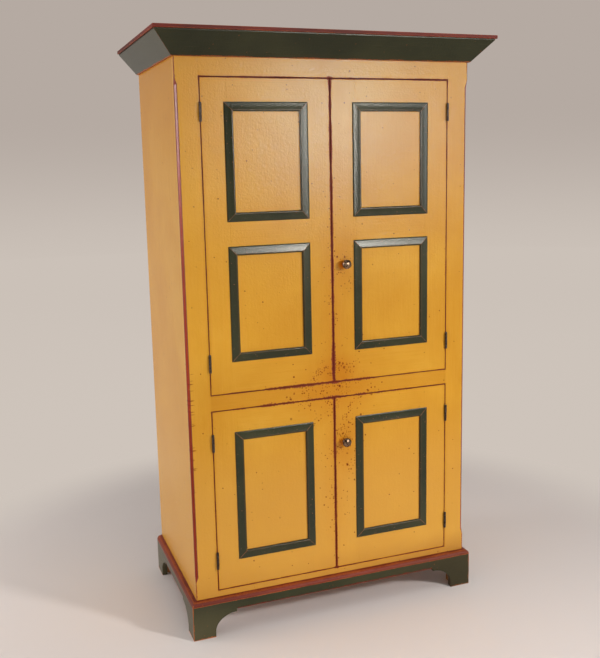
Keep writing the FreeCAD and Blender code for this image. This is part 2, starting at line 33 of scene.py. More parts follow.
SIDE_INSIDE = CASE_HALF - SIDE_THICK
LEAF_BACK = FACE_Y + LEAF_THICK
LEAF = {row: (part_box(row + "_right_meeting_stile")[0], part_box(row + "_right_hinge_stile")[1]) for row in ROWS}
HALF_GAP = (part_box("frame_stile_right")[0].x - LEAF["upper"][1].x) / 2
KNOB = {row: (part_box(row + "_knob")[0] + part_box(row + "_knob")[1]) / 2 for row in ROWS}
MID_RAIL = (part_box("frame_rail_middle")[0].z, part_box("frame_rail_middle")[1].z)
CROWN_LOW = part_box("crown_front")[0].z
BASE_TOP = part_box("base_front")[1].z
BASE_EDGE = BASE_TOP - 0.0165                        # the red moulded edge starts here
BASE_CREST = BASE_TOP - 0.003                        # and stands out most here
BASE_OUT = 0.02                                      # from the case to the base's outer faces
APRON_LOW = 0.092                                    # lower edge of the base between its feet
FRONT_APRON, SIDE_APRON = (-0.392, 0.392), (-0.119, 0.174)    # where it starts and ends, along x and along y
CHAMFER, CHAMFER_STOP = 0.009, 0.025                 # leg of the corner chamfer, length of its pointed stops
CHAMFER_LOW, CHAMFER_HIGH = 0.202, 1.935             # tips of the stops
NICKED_LEVEL = 0.76                                  # the left corner is nicked about this height
PANEL_LEVELS = ((0.26825, 0.73775), (0.98675, 1.38225), (1.46425, 1.85625))    # outer edges of the mouldings
PANEL_SIDES = (0.08225, 0.37600)                     # round the panels: low and high; next to and off the middle
MOULDING_CREST = FACE_Y - 0.0061

# Where hands have worn the front: x, z, reach across, reach up and down, how much.
HANDLED_SPOTS = (
    (KNOB["upper"].x, KNOB["upper"].z, 0.10, 0.17, 0.7),
    (KNOB["lower"].x, KNOB["lower"].z, 0.11, 0.20, 0.9),
    (0.0, (MID_RAIL[0] + MID_RAIL[1]) / 2, 0.22, 0.17, 1.0),    # the middle rail
    (0.01, MID_RAIL[1] + 0.03, 0.13, 0.11, 1.6),                # lower corners of the upper doors
    (0.0, 1.05, 0.07, 0.75, 0.40),                              # meeting edges of the upper doors
    (0.0, 0.50, 0.07, 0.40, 0.35),                              # meeting edges of the lower doors
)
THUMB_SHADOW_OFF_KNOB = (-0.011, -0.003)                    # middle of the thumbed spot and painted knob shadow from the knob's, across and up
THUMB_SHADOW_REACH = (0.022, 0.026)
THUMB_SHADOW_SHARE = {"upper": 0.8, "lower": 0.45}
CROSSING_SPOT = (0.0, MID_RAIL[1] + 0.07, 0.03, 0.12)    # where the middle gap's wear is widest
DUSTY_SPOT = (-CASE_HALF, 0.03, 0.30, 0.16)          # dust about the left front foot

# Heights between which the ochre changes, from where it starts to where the change is full.
FLOOR_SHEEN_LEVELS = (0.82, 0.45)                           # paler and greyer in the lower half: painted sheen of the pale floor
SOILED_LEVELS = (0.28, 0.165)                        # soiled above the base
LIT_LEVELS = (0.88, 1.05)                          # painted light: paler in the upper half, to the left, evening out the lamps' light
SHADED_LEVELS = (1.45, 2.05)                         # painted shade on the sides, under the crown

# How far paint is rubbed along the doors' outlines: everywhere, and how much more under the top rail and between
# the doors; then its chips, at the crossing, between the doors and along the middle rail.
LINE_REACH, LINE_TOP, LINE_MIDDLE = 0.0028, 0.0012, 0.0036
CHIPS_CROSSING, CHIPS_MIDDLE, CHIPS_RAIL = 0.006, 0.004, 0.006


# ---- Colours, written in linear light ------------------------------------------------------------
def srgb(red, green, blue):
    """Linear colour of a screen colour given as 0 to 255."""
    parts = []
    for value in (red, green, blue):
        value = value / 255
        parts.append(value / 12.92 if value <= 0.04045 else ((value + 0.055) / 1.055) ** 2.4)
    return (*parts, 1.0)


OCHRE = srgb(212, 155, 47)
OCHRE_DEEP = srgb(192, 127, 24)
OCHRE_PALE = srgb(218, 165, 68)
OCHRE_LIT = srgb(232, 167, 45)
OCHRE_HANDLED = srgb(192, 122, 22)
OCHRE_FLOOR_SHEEN = srgb(206, 152, 66)
OCHRE_SOILED = srgb(168, 112, 40)
THUMBED_AND_SHADOW = srgb(190, 76, 8)
UNDERCOAT = srgb(124, 34, 6)
UNDERCOAT_RED = srgb(122, 24, 6)
SPECK = srgb(112, 40, 4)
RUBBED_ORANGE = srgb(190, 98, 40)
OLIVE = srgb(54, 55, 31)
OLIVE_DARK = srgb(34, 38, 20)
OLIVE_STREAK = srgb(86, 82, 60)
OLIVE_DUSTY = srgb(84, 78, 52)
OXBLOOD = srgb(122, 40, 16)
OXBLOOD_DARK = srgb(100, 30, 12)
CHAMFER_RED = srgb(166, 50, 18)
CHAMFER_DARK = srgb(114, 26, 8)
CAP_RED = srgb(116, 30, 14)
CAP_DARK = srgb(78, 20, 10)
PINE = srgb(196, 148, 94)
PINE_RED = srgb(172, 116, 64)
PINE_DARK = srgb(130, 82, 44)
KNOT = srgb(84, 44, 22)
IRON = srgb(96, 84, 78)
IRON_DARK = srgb(48, 38, 36)
PEWTER = srgb(150, 126, 106)
PEWTER_DARK = srgb(88, 66, 50)
GRIME = srgb(60, 38, 18)
WALL_LOW = srgb(206, 196, 187)
WALL = srgb(203, 193, 184)
WALL_HIGH = srgb(181, 170, 162)
ROOM = srgb(98, 96, 92)                 # the darker room before the cupboard, seen only in its gloss
FLOOR = srgb(231, 222, 218)
AMBIENT = (0.35, 0.343, 0.332, 1.0)     # light cast on the cupboard from all round
GLARE_TINT = (0.36, 0.61, 0.84, 1.0)    # the cold bloom that the old varnish of the front gives to glare
NO_TINT = (1.0, 1.0, 1.0, 1.0)

PAINT_SHINE, MOULDING_SHINE, SIDE_SHINE, METAL_SHINE = 0.28, 0.38, 0.14, 0.5     # specular levels
UNDERCOAT_ROUGH, BARE_ROUGH = 0.62, 0.6              # roughness of the ochre's undercoat; of wood and other undercoat

# Bump of each kind of surface: its depth in metres and its strength.
YELLOW_BUMP, PAINT_BUMP, WOOD_BUMP = (0.0003, 1.0), (0.0003, 0.9), (0.0004, 0.7)
METAL_BUMP_DEPTH = 0.0002

# How finely a brush's streaks follow each other along x, y and z; the small number is the way it was drawn.
UPWARD, ACROSS, FRONT_TO_BACK = (260.0, 260.0, 9.0), (9.0, 260.0, 260.0), (260.0, 9.0, 260.0)
ROUND_THE_PANEL = (60.0, 260.0, 60.0)


# ---- Node building -------------------------------------------------------------------------------
class Tree:
    """Adds nodes to a node tree by plain calls; a value may be a number, a colour or a socket."""

    def __init__(self, tree):
        self.tree = tree

    def node(self, kind, **settings):
        made = self.tree.nodes.new(kind)
        for name, value in settings.items():
            setattr(made, name, value)
        return made

    def put(self, socket, value):
        if isinstance(value, bpy.types.NodeSocket):
            self.tree.links.new(value, socket)
        elif value is not None:
            socket.default_value = value

    def math(self, operation, *values):
        made = self.node("ShaderNodeMath", operation=operation)
        for socket, value in zip(made.inputs, values):
            self.put(socket, value)
        return made.outputs[0]

    def chain(self, operation, values):
        """The values joined by one operation, from the first to the last."""
        total, *others = values
        for value in others:
            total = self.math(operation, total, value)
        return total

    def plus(self, *values):
        return self.chain("ADD", values)

    def times(self, *values):
        return self.chain("MULTIPLY", values)

    def least(self, *values):
        return self.chain("MINIMUM", values)

    def most(self, *values):
        return self.chain("MAXIMUM", values)

    def minus(self, a, b):
        return self.math("SUBTRACT", a, b)

    def size(self, value):
        """The value without its sign."""
        return self.math("ABSOLUTE", value)

    def apart(self, a, b):
        """How far two values are from each other."""
        return self.size(self.minus(a, b))

    def vector(self, operation, a, b=None, scale=None):
        made = self.node("ShaderNodeVectorMath", operation=operation)
        self.put(made.inputs[0], a)
        self.put(made.inputs[1], b)
        if scale is not None:
            self.put(made.inputs["Scale"], scale)
        return made.outputs["Value" if operation in ("LENGTH", "DOT_PRODUCT") else "Vector"]

    def split(self, vector):
        made = self.node("ShaderNodeSeparateXYZ")
        self.put(made.inputs[0], vector)
        return made.outputs

    def join(self, x, y, z):
        made = self.node("ShaderNodeCombineXYZ")
        for socket, value in zip(made.inputs, (x, y, z)):
            self.put(socket, value)
        return made.outputs[0]

    def smooth(self, value, start, end, low=0.0, high=1.0):
        """low where value is at start, high where it is at end, with soft ends."""
        made = self.node("ShaderNodeMapRange", interpolation_type="SMOOTHSTEP")
        for socket, item in zip(made.inputs, (value, start, end, low, high)):
            self.put(socket, item)
        return made.outputs[0]

    def noise(self, vector, scale, detail=2.0, roughness=0.5, distortion=0.0):
        made = self.node("ShaderNodeTexNoise")
        for name, value in (("Vector", vector), ("Scale", scale), ("Detail", detail),
                            ("Roughness", roughness), ("Distortion", distortion)):
            self.put(made.inputs[name], value)
        return made.outputs["Fac"]

    def mix(self, share, a, b):
        """Colour a with a share of colour b."""
        made = self.node("ShaderNodeMix", data_type="RGBA")
        for socket, value in ((0, share), (6, a), (7, b)):
            self.put(made.inputs[socket], value)
        return made.outputs[2]

    def blend(self, share, a, b):
        """Value a with a share of value b."""
        made = self.node("ShaderNodeMix", data_type="FLOAT")
        for socket, value in ((0, share), (2, a), (3, b)):
            self.put(made.inputs[socket], value)
        return made.outputs[0]

    def bump(self, height, depth, strength):
        made = self.node("ShaderNodeBump")
        for name, value in (("Height", height), ("Distance", depth), ("Strength", strength)):
            self.put(made.inputs[name], value)
        return made.outputs[0]

    def group(self, name, **values):
        """A shared effect with these inputs; their names are its sockets' in small letters."""
        made = self.node("ShaderNodeGroup", node_tree=GROUPS[name])
        for key, value in values.items():
            self.put(made.inputs[key.capitalize()], value)
        return made.outputs


GROUPS = {}


def make_group(name, inputs, outputs):
    """New shader node group with named sockets; returns its tree, its inputs and a function to set outputs."""
    group = bpy.data.node_groups.new(name, "ShaderNodeTree")
    for label, kind, value in inputs:
        socket = group.interface.new_socket(name=label, in_out="INPUT", socket_type="NodeSocket" + kind)
        if value is not None:
            socket.default_value = value
    for label in outputs:
        kind = "Color" if label == "Colour" else "Float"
        group.interface.new_socket(name=label, in_out="OUTPUT", socket_type="NodeSocket" + kind)
    tree = Tree(group)
    entry = tree.node("NodeGroupInput").outputs
    leave = tree.node("NodeGroupOutput").inputs
    GROUPS[name] = group
    return tree, entry, lambda label, value: tree.put(leave[label], value)


# ---- Shared effects ------------------------------------------------------------------------------
def group_brush_marks():
    """Marks of a brush drawn along one axis: long thin streaks that wander a little, the low hills that its hairs
    leave in the paint, and broad clouds."""
    tree, at, put = make_group("brush_marks", [("Vector", "Vector", None), ("Stretch", "Vector", (1, 1, 1))],
                               ["Streak", "Cloud", "Height"])
    place = at["Vector"]
    wander = tree.times(tree.noise(place, scale=3.0), 0.5)
    drawn = tree.vector("ADD", tree.vector("MULTIPLY", place, at["Stretch"]), tree.join(wander, 0.0, wander))
    broad = tree.noise(drawn, scale=1.0, detail=3.0, roughness=0.55)
    fine = tree.noise(tree.vector("SCALE", drawn, scale=2.7), scale=1.0, detail=3.0, roughness=0.6)
    streak = tree.plus(tree.times(broad, 0.55), tree.times(fine, 0.45))
    hills = tree.noise(place, scale=150.0, detail=3.0, roughness=0.6)
    put("Streak", streak)
    put("Cloud", tree.noise(place, scale=2.6, detail=4.0, roughness=0.55, distortion=0.3))
    put("Height", tree.plus(streak, tree.times(hills, 2.2)))


def group_specks():
    """Specks, one at most in each cell of a flat Voronoi pattern over x + y and z, kept where a random value is
    under Share; a fine noise makes their outlines ragged."""
    tree, at, put = make_group("specks", [("Vector", "Vector", None), ("Scale", "Float", 100.0),
                                          ("Share", "Float", 0.2), ("Size", "Float", 0.25)], ["Mask"])
    x, y, z = tree.split(at["Vector"])
    jitter = tree.times(tree.noise(at["Vector"], scale=700.0), 0.004)
    cells = tree.node("ShaderNodeTexVoronoi", voronoi_dimensions="2D")
    tree.put(cells.inputs["Vector"], tree.join(tree.plus(x, y, jitter), tree.minus(z, jitter), 0.0))
    tree.put(cells.inputs["Scale"], at["Scale"])
    keeping, sizing, fading = tree.split(cells.outputs["Color"])
    kept = tree.math("LESS_THAN", keeping, at["Share"])
    radius = tree.times(at["Size"], tree.plus(0.35, sizing))
    spot = tree.smooth(cells.outputs["Distance"], radius, tree.times(radius, 0.55))
    put("Mask", tree.times(kept, spot, tree.smooth(fading, 0.0, 1.0, low=0.5)))


def group_leaf_outline():
    """Distance to the outline of a pair of doors: the signed distance to a rectangle in |x| and z, made positive."""
    tree, at, put = make_group("leaf_outline", [("Vector", "Vector", None), ("Centre", "Vector", None),
                                                ("Half", "Vector", None)], ["Distance"])
    x, y, z = tree.split(at["Vector"])
    from_centre = tree.vector("SUBTRACT", tree.join(tree.size(x), 0.0, z), at["Centre"])
    across, ahead, up = tree.split(tree.vector("SUBTRACT", tree.vector("ABSOLUTE", from_centre), at["Half"]))
    outside = tree.vector("LENGTH", tree.join(tree.most(across, 0.0), 0.0, tree.most(up, 0.0)))
    inside = tree.least(tree.most(across, up), 0.0)
    put("Distance", tree.size(tree.plus(outside, inside)))


def group_arris():
    """Distance to the nearest edge of a box: of the distances to its faces along x, y and z, the second smallest,
    which is their sum without the least and the most."""
    tree, at, put = make_group("arris", [("Vector", "Vector", None), ("Low", "Vector", None),
                                         ("High", "Vector", None)], ["Distance"])
    from_low = tree.split(tree.vector("SUBTRACT", at["Vector"], at["Low"]))
    from_high = tree.split(tree.vector("SUBTRACT", at["High"], at["Vector"]))
    to_face = [tree.size(tree.least(low, high)) for low, high in zip(from_low, from_high)]
    put("Distance", tree.minus(tree.minus(tree.plus(*to_face), tree.least(*to_face)), tree.most(*to_face)))


def group_mitre():
    """Distance to the mitres of a frame: half the difference between the distances to its upright and level edges,
    and far off outside the frame."""
    tree, at, put = make_group("mitre", [("Vector", "Vector", None), ("Centre", "Vector", None),
                                         ("Half", "Vector", None)], ["Distance"])
    x, y, z = tree.split(at["Vector"])
    from_centre = tree.vector("SUBTRACT", tree.join(tree.size(x), 0.0, z), at["Centre"])
    across, ahead, up = tree.split(tree.vector("SUBTRACT", at["Half"], tree.vector("ABSOLUTE", from_centre)))
    outside = tree.math("LESS_THAN", tree.least(across, up), -0.002)
    put("Distance", tree.plus(tree.times(tree.apart(across, up), 0.5), outside))


def group_rub():
    """Wear: 1 where Distance is under Reach; Ragged is how much noise makes Reach longer and shorter."""
    tree, at, put = make_group("rub", [("Vector", "Vector", None), ("Distance", "Float", 1.0),
                                       ("Reach", "Float", 0.002), ("Scale", "Float", 60.0),
                                       ("Ragged", "Float", 1.0)], ["Mask"])
    waves = tree.noise(at["Vector"], tree.times(at["Scale"], 0.3), detail=3.0, roughness=0.6)
    teeth = tree.noise(at["Vector"], tree.times(at["Scale"], 5.0), detail=3.0, roughness=0.65)
    ragged = tree.times(tree.smooth(waves, 0.25, 0.75, low=0.25, high=1.9),
                        tree.smooth(teeth, 0.3, 0.7, low=0.45, high=1.5))
    reach = tree.times(at["Reach"], tree.blend(at["Ragged"], 1.0, ragged))
    put("Mask", tree.smooth(at["Distance"], reach, tree.times(reach, 0.55)))


def group_pine():
    """Unpainted aged pine: flat-sawn boards side by side. Across and Along are directions; boards of one Width lie
    from Start on. The growth rings are level lines of a noise drawn out along the board, and bend round the knots."""
    tree, at, put = make_group("pine", [("Vector", "Vector", None), ("Across", "Vector", (1, 1, 0)),
                                        ("Along", "Vector", (0, 0, 1)), ("Start", "Float", -5.0),
                                        ("Width", "Float", 10.0), ("Seed", "Float", 0.0)],
                               ["Colour", "Height"])
    across = tree.vector("DOT_PRODUCT", at["Vector"], at["Across"])
    along = tree.vector("DOT_PRODUCT", at["Vector"], at["Along"])
    counted = tree.math("DIVIDE", tree.minus(across, at["Start"]), at["Width"])
    board = tree.math("FLOOR", counted)
    chance = tree.node("ShaderNodeTexWhiteNoise", noise_dimensions="1D")
    tree.put(chance.inputs["W"], tree.plus(board, at["Seed"]))
    chance = chance.outputs["Value"]

    sideways = tree.plus(across, tree.times(board, 3.1))       # so that no board goes on with the last one's rings
    further = tree.times(chance, 5.0)
    knots = tree.node("ShaderNodeTexVoronoi", voronoi_dimensions="2D")
    tree.put(knots.inputs["Vector"], tree.join(sideways, tree.plus(tree.times(along, 0.6), further), 0.0))
    tree.put(knots.inputs["Scale"], 4.0)
    kept = tree.math("LESS_THAN", tree.split(knots.outputs["Color"])[0], 0.14)
    knot = tree.times(kept, tree.smooth(knots.outputs["Distance"], 0.045, 0.025))

    near_knot = tree.times(kept, tree.smooth(knots.outputs["Distance"], 0.14, 0.0))
    drawn = tree.join(sideways, tree.plus(tree.times(along, 0.05), further),
                      tree.plus(at["Seed"], tree.times(chance, 9.0)))
    field = tree.plus(tree.noise(drawn, scale=8.0, roughness=0.35), tree.times(near_knot, 0.14))
    band = tree.math("FRACT", tree.times(field, 26.0))
    ring = tree.times(tree.smooth(band, 0.15, 0.9), tree.smooth(band, 1.0, 0.93))

    fibres = tree.join(tree.times(sideways, 420.0), tree.times(along, 7.0), chance)
    fibre = tree.noise(fibres, scale=1.0, detail=3.0, roughness=0.6)
    part = tree.minus(counted, board)
    to_seam = tree.times(tree.least(part, tree.minus(1.0, part)), at["Width"])
    seam = tree.smooth(to_seam, 0.0018, 0.0007)

    colour = tree.mix(tree.times(chance, 0.5), PINE, PINE_RED)
    colour = tree.mix(tree.times(ring, 0.5), colour, PINE_DARK)
    colour = tree.mix(tree.smooth(fibre, 0.45, 0.8, high=0.4), colour, PINE_DARK)
    colour = tree.mix(tree.times(knot, 0.85), colour, KNOT)
    dirt = tree.noise(at["Vector"], scale=2.6, detail=4.0, roughness=0.6)
    colour = tree.mix(tree.smooth(dirt, 0.5, 0.8, high=0.3), colour, GRIME)
    put("Colour", tree.mix(tree.times(seam, 0.8), colour, GRIME))
    put("Height", tree.minus(tree.plus(tree.times(ring, 0.4), fibre), seam))


def group_soft_spot():
    """Soft spot round a point of the front: 1 at Centre, falling to 0 as far across and up as Reach says."""
    tree, at, put = make_group("soft_spot", [("Vector", "Vector", None), ("Centre", "Vector", None),
                                             ("Reach", "Vector", (1, 1, 1))], ["Mask"])
    away = tree.vector("DIVIDE", tree.vector("SUBTRACT", at["Vector"], at["Centre"]), at["Reach"])
    across, ahead, up = tree.split(away)
    put("Mask", tree.smooth(tree.vector("LENGTH", tree.join(across, 0.0, up)), 1.0, 0.0))


def specks(tree, place, scale, share, size):
    """Where specks are; scale is how many cells lie in a metre, share how many of them hold a speck."""
    return tree.group("specks", vector=place, scale=scale, share=share, size=size)["Mask"]


def rub(tree, place, distance, reach, scale, ragged=1.0):
    """Where paint is rubbed, as far as reach from what distance is measured from."""
    return tree.group("rub", vector=place, distance=distance, reach=reach, scale=scale, ragged=ragged)["Mask"]


def frame_of(shape, tree, place, sides, levels):
    """Distance to a frame's outline or mitres; sides are its edges in |x| and levels its edges in z."""
    (inner, outer), (low, high) = sides, levels
    return tree.group(shape, vector=place, centre=((inner + outer) / 2, 0.0, (low + high) / 2),
                      half=((outer - inner) / 2, 0.0, (high - low) / 2))["Distance"]


def bell(tree, place, x, z, across, up):
    """Soft spot round x and z, as far across and up as given."""
    return tree.group("soft_spot", vector=place, centre=(x, 0.0, z), reach=(across, 1.0, up))["Mask"]


def pine(tree, place, upright=True, seed=0.0, boards=(-5.0, 10.0)):
    """Bare pine whose boards stand upright or lie along x; boards is where the first starts and their width."""
    across, along = ((1.0, 1.0, 0.0), (0.0, 0.0, 1.0)) if upright else ((0.0, 1.0, 1.0), (1.0, 0.0, 0.0))
    return tree.group("pine", vector=place, across=across, along=along, start=boards[0], width=boards[1], seed=seed)


def brushed_rough(tree, brush, base, streaks):
    """Roughness of brushed paint: base, and up to streaks more in its streaks."""
    return tree.plus(base, tree.times(brush["Streak"], streaks))


def two_tones(tree, brush, dark, pale):
    """Colour that goes from dark to pale in the brush marks' clouds."""
    return tree.mix(tree.smooth(brush["Cloud"], 0.3, 0.7), dark, pale)


def group_ochre():
    """Ochre paint before any wear: clouds of three tones, evened out, and brush streaks; paler and greyer in its
    lower half, a painted sheen of the pale floor, and soiled above the base, more so to the right. Dark and Pale are
    the streaks' strengths, and Depth is how much deeper the whole is."""
    tree, at, put = make_group("ochre", [("Vector", "Vector", None), ("Stretch", "Vector", (1, 1, 1)),
                                         ("Depth", "Float", 0.0), ("Dark", "Float", 0.3), ("Pale", "Float", 0.22)],
                               ["Colour", "Rough", "Cloud", "Height"])
    brush = tree.group("brush_marks", vector=at["Vector"], stretch=at["Stretch"])
    cloud, streak = brush["Cloud"], brush["Streak"]
    colour = tree.mix(tree.smooth(cloud, 0.3, 0.72), OCHRE_DEEP, OCHRE)
    colour = tree.mix(tree.smooth(cloud, 0.55, 0.85), colour, OCHRE_PALE)
    colour = tree.mix(0.45, colour, OCHRE)
    colour = tree.mix(at["Depth"], colour, OCHRE_DEEP)
    colour = tree.mix(tree.smooth(streak, 0.52, 0.30, high=at["Dark"]), colour, OCHRE_DEEP)
    colour = tree.mix(tree.smooth(streak, 0.52, 0.72, high=at["Pale"]), colour, OCHRE_PALE)
    x, y, z = tree.split(at["Vector"])
    # Painted sheen: the lower half turns paler and greyer, as the pale floor's reflection
    colour = tree.mix(tree.smooth(z, *FLOOR_SHEEN_LEVELS, high=0.6), colour, OCHRE_FLOOR_SHEEN)
    soil = tree.smooth(tree.plus(z, tree.times(cloud, 0.06)), *SOILED_LEVELS, high=0.5)
    soil = tree.times(soil, tree.smooth(x, -0.2, 0.45, low=0.6, high=1.5))
    put("Colour", tree.mix(soil, colour, OCHRE_SOILED))
    put("Rough", brushed_rough(tree, brush, base=0.18, streaks=0.11))
    put("Cloud", cloud)
    put("Height", brush["Height"])


def group_olive():
    """Olive paint before any wear: clouds of two tones and pale brush streaks."""
    tree, at, put = make_group("olive", [("Vector", "Vector", None), ("Stretch", "Vector", (1, 1, 1))],
                               ["Colour", "Rough", "Cloud", "Height"])
    brush = tree.group("brush_marks", vector=at["Vector"], stretch=at["Stretch"])
    colour = tree.mix(tree.smooth(brush["Cloud"], 0.3, 0.75), OLIVE_DARK, OLIVE)
    put("Colour", tree.mix(tree.smooth(brush["Streak"], 0.55, 0.75, high=0.35), colour, OLIVE_STREAK))
    put("Rough", brushed_rough(tree, brush, base=0.22, streaks=0.16))
    put("Cloud", brush["Cloud"])
    put("Height", brush["Height"])


def group_handled():
    """Where hands have worn the front, and the specks there, in clumps: fine ones, and half as many coarse ones."""
    tree, at, put = make_group("handled", [("Vector", "Vector", None)], ["Mask", "Specks"])
    place = at["Vector"]
    handled = tree.most(*(tree.times(bell(tree, place, *spot), amount) for *spot, amount in HANDLED_SPOTS))
    clump = tree.smooth(tree.noise(place, scale=22.0), 0.4, 0.62)
    share = tree.times(handled, clump, 0.85)
    elsewhere = tree.vector("ADD", place, (0.3, 0.1, 0.7))
    put("Mask", handled)
    put("Specks", tree.most(specks(tree, place, scale=130.0, share=share, size=0.36),
                            specks(tree, elsewhere, scale=70.0, share=tree.times(share, 0.5), size=0.30)))


def group_old_metal():
    """Old metal: Blotch is high where it is pale and dull, and Height is its pits."""
    tree, at, put = make_group("old_metal", [("Vector", "Vector", None)], ["Blotch", "Height"])
    put("Blotch", tree.noise(at["Vector"], scale=140.0, detail=4.0, roughness=0.6))
    put("Height", tree.noise(at["Vector"], scale=900.0, detail=3.0))


def group_gap_wear():
    """Wear along the gaps round the doors: Worn is where the undercoat shows, Middle is 1 at the gap between the
    doors, and Beside is how much deeper the ochre is next to a gap."""
    tree, at, put = make_group("gap_wear", [("Vector", "Vector", None)], ["Worn", "Middle", "Beside"])
    place = at["Vector"]
    x, y, z = tree.split(place)
    gap = tree.least(*(frame_of("leaf_outline", tree, place, (0.0, high.x + HALF_GAP),
                                (low.z - HALF_GAP, high.z + HALF_GAP)) for low, high in LEAF.values()))
    middle = tree.smooth(tree.size(x), 0.011, 0.007)
    leaf_top = LEAF["upper"][1].z
    under_top = tree.smooth(z, leaf_top - 0.02, leaf_top - 0.005)
    reach = tree.plus(LINE_REACH, tree.times(under_top, LINE_TOP), tree.times(middle, LINE_MIDDLE))
    line = rub(tree, place, gap, reach, scale=60.0, ragged=0.35)
    to_rail = tree.least(tree.apart(z, MID_RAIL[0]), tree.apart(z, MID_RAIL[1]))
    at_rail = tree.times(tree.smooth(to_rail, 0.012, 0.004), tree.smooth(tree.apart(x, -0.1), 0.46, 0.0, low=0.35))
    crossing = bell(tree, place, *CROSSING_SPOT)
    reach = tree.plus(tree.times(crossing, CHIPS_CROSSING), tree.times(middle, CHIPS_MIDDLE),
                      tree.times(at_rail, CHIPS_RAIL))
    chips = rub(tree, place, gap, reach, scale=34.0)
    behind_face = tree.smooth(y, FACE_Y + 0.0004, FACE_Y + 0.0012)
    off_corner = tree.math("LESS_THAN", tree.size(x), CASE_HALF - 0.02)
    put("Worn", tree.most(line, chips, tree.times(behind_face, off_corner)))
    put("Middle", middle)
    put("Beside", tree.smooth(gap, 0.012, 0.0, high=0.5))


for build in (group_brush_marks, group_specks, group_leaf_outline, group_arris, group_mitre, group_rub, group_pine,
              group_soft_spot, group_ochre, group_olive, group_handled, group_old_metal, group_gap_wear):
    build()


# ---- Materials -----------------------------------------------------------------------------------
def new_material(name):
    """A new material, its tree, its shader and the place on the piece."""
    material = bpy.data.materials.new(name)
    material.use_nodes = True
    tree = Tree(material.node_tree)
    shader = material.node_tree.nodes["Principled BSDF"]
    return material, tree, shader, tree.node("ShaderNodeTexCoord").outputs["Object"]


def finish(tree, shader, colour, rough, height, bump, shine):
    """Join a surface's colour, roughness and height to its shader; bump is the height's depth and strength."""
    tree.put(shader.inputs["Base Color"], colour)
    tree.put(shader.inputs["Roughness"], rough)
    tree.put(shader.inputs["Normal"], tree.bump(height, *bump))
    shader.inputs["Specular IOR Level"].default_value = shine


def bare_wood(name, upright=True, seed=0.0, boards=(-5.0, 10.0)):
    """Unpainted pine of the inside and the back, duller where its grain stands up."""
    material, tree, shader, place = new_material(name)
    wood = pine(tree, place, upright, seed, boards)
    rough = tree.smooth(wood["Height"], 0.2, 1.1, low=0.6, high=0.8)
    finish(tree, shader, wood["Colour"], rough, wood["Height"], WOOD_BUMP, PAINT_SHINE)
    return material


def red_chamfer(tree, place, paint):
    """The corner's chamfer, painted red: where its own face is, where all is red, its colour, where its dark rim is,
    and the distance from the corner's arris, as the sum of the distances from side and front.

    The chamfer's leg grows from nothing at the tip of each stop to its full length at the stop's end."""
    x, y, z = tree.split(place)
    from_side, from_front = tree.minus(CASE_HALF, tree.size(x)), tree.minus(y, FACE_Y)
    from_tip = tree.least(tree.minus(z, CHAMFER_LOW), tree.minus(CHAMFER_HIGH, z))
    leg = tree.least(tree.times(from_tip, CHAMFER / CHAMFER_STOP), CHAMFER)
    ragged = tree.times(tree.minus(tree.noise(place, scale=90.0, detail=3.0), 0.45), 0.0012)
    corner = tree.plus(from_side, from_front)
    face = tree.smooth(tree.minus(tree.plus(corner, ragged), leg), 0.0007, 0.0002)
    edge = rub(tree, place, corner, reach=0.0034, scale=25.0, ragged=0.8)
    to_rim = tree.minus(leg, tree.apart(from_side, from_front))
    rim = tree.smooth(tree.plus(to_rim, ragged), 0.0052, 0.0034)
    tone = tree.mix(tree.times(rim, 0.6), two_tones(tree, paint, CHAMFER_DARK, CHAMFER_RED), CHAMFER_DARK)
    return face, tree.most(face, tree.times(edge, 0.8)), tone, rim, corner


def nicked(tree, place, corner):
    """Short level nicks beside the left chamfer."""
    x, y, z = tree.split(place)
    flat_noise = tree.noise(tree.vector("MULTIPLY", place, (14.0, 14.0, 210.0)), scale=1.0, detail=0.0)
    about_level = tree.smooth(tree.apart(z, NICKED_LEVEL), 0.30, 0.18)
    return tree.times(tree.smooth(flat_noise, 0.71, 0.74), tree.smooth(corner, 0.026, 0.012), about_level,
                      tree.math("LESS_THAN", x, 0.0))


